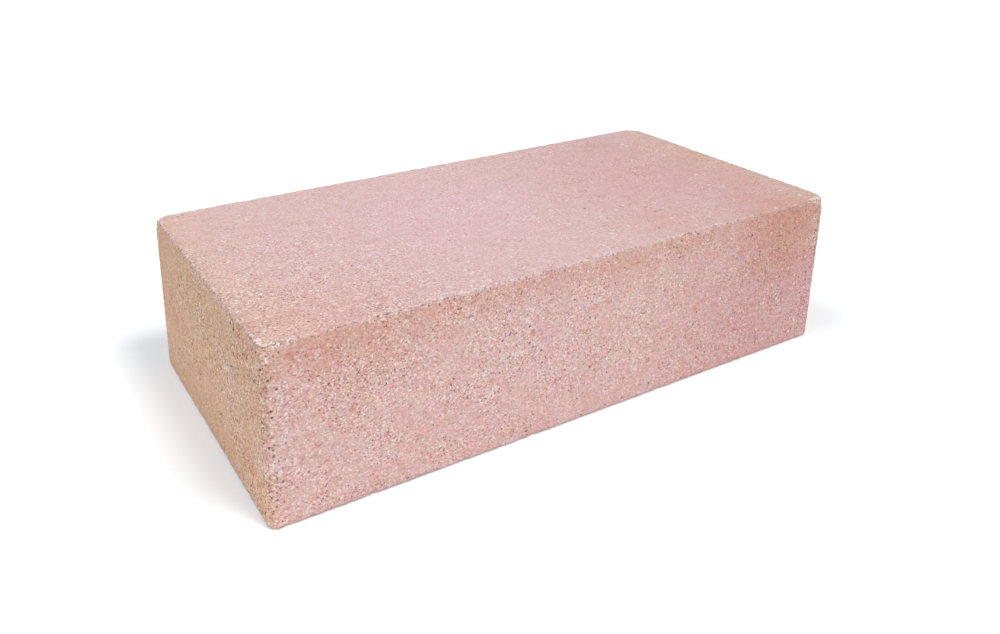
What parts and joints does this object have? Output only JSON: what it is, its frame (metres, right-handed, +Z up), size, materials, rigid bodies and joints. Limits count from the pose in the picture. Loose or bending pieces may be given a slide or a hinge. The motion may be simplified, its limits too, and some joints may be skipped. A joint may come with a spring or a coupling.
{
  "type": "solid brick",
  "caption": "Solid rectangular masonry brick with plain flat faces, softly rounded upright corners and small rounded arrises.",
  "frame": {"origin": "middle of the bottom bed face", "axes": "+X along the brick's length, +Y across its width, +Z up from the bottom bed face to the top one"},
  "size_m": [0.25, 0.12, 0.065],
  "materials": {
    "brick_body": "unglazed pressed body, granular and matt, with pale and dark grains"
  },
  "bodies": {
    "root": {"brick": "brick_body"}
  },
  "joints": []
}
